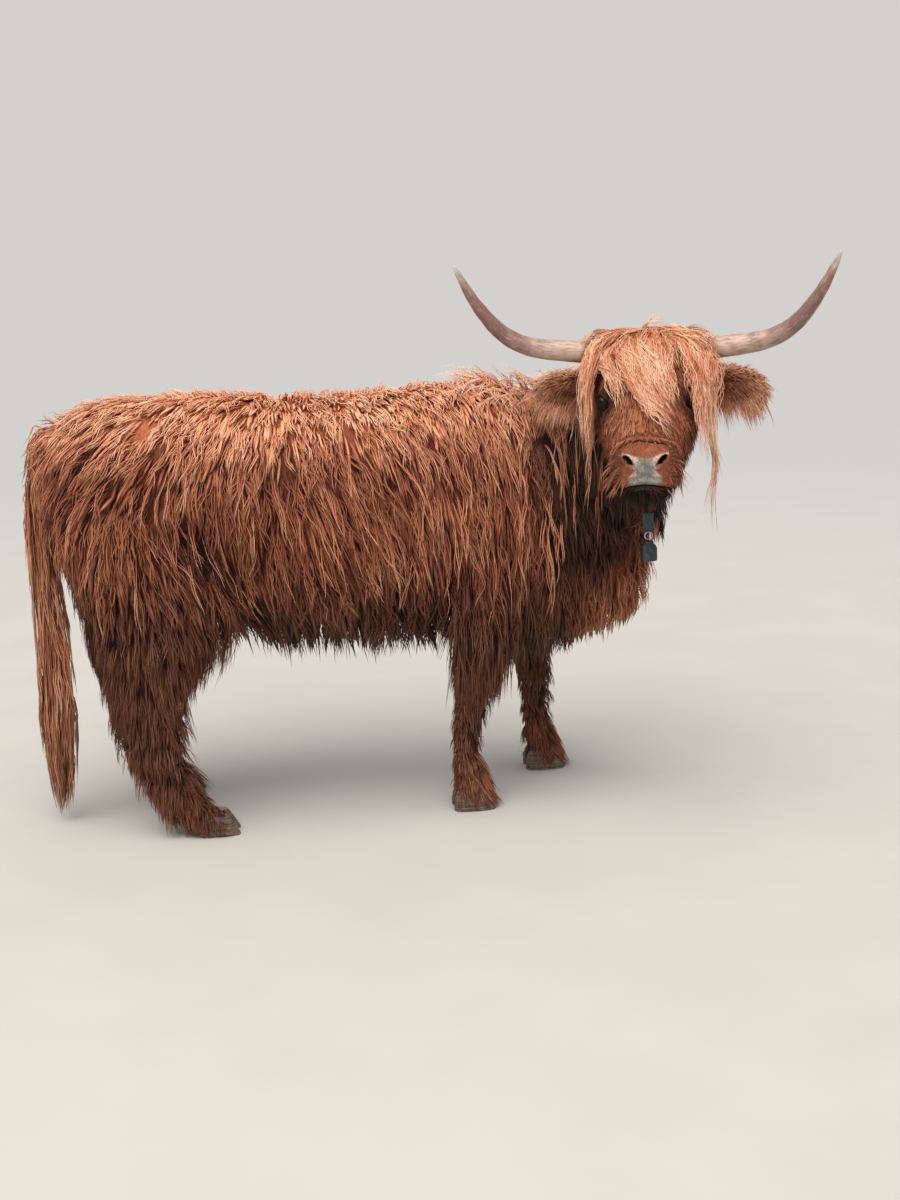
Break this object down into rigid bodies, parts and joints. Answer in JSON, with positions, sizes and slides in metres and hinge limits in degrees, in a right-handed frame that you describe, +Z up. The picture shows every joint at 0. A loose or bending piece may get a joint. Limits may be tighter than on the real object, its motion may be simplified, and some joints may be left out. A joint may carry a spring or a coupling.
{
  "type": "highland cow model",
  "caption": "Life-size still model of a shaggy, long-horned highland cow standing with its head turned to its right side, wearing a collar with a hanging weight.",
  "frame": {"origin": "on the floor under the middle of the model's bounds", "axes": "+X along the body from rump to brisket, +Y to the animal's left, +Z up; the head is turned towards -Y"},
  "size_m": [2.0584, 0.9471, 1.4399],
  "materials": {
    "coat": "long matte hair, reddish brown",
    "pale_coat": "long matte hair, golden orange",
    "horn": "satin horn, cream to grey-brown",
    "hoof_horn": "dull hoof horn",
    "eye": "wet, dark brown",
    "strap": "dark slate webbing and moulded weight",
    "steel": "worn"
  },
  "bodies": {
    "root": {"claw_fore_L_inner": "hoof_horn", "claw_fore_L_outer": "hoof_horn", "claw_fore_R_inner": "hoof_horn", "claw_fore_R_outer": "hoof_horn", "claw_hind_L_inner": "hoof_horn", "claw_hind_L_outer": "hoof_horn", "claw_hind_R_inner": "hoof_horn", "claw_hind_R_outer": "hoof_horn", "collar_band": "strap", "collar_ring": "steel", "collar_strap_end": "strap", "collar_weight": "strap", "ear_L": "coat", "ear_R": "coat", "eye_L": "eye", "eye_R": "eye", "fore_lower_L": "coat", "fore_lower_R": "coat", "fore_upper_L": "coat", "fore_upper_R": "coat", "forelock": "pale_coat", "head": "coat", "hind_lower_L": "coat", "hind_lower_R": "coat", "hind_upper_L": "coat", "hind_upper_R": "coat", "horn_L": "horn", "horn_R": "horn", "neck": "coat", "tail": "coat", "tail_switch": "pale_coat", "trunk": "coat"}
  },
  "joints": []
}
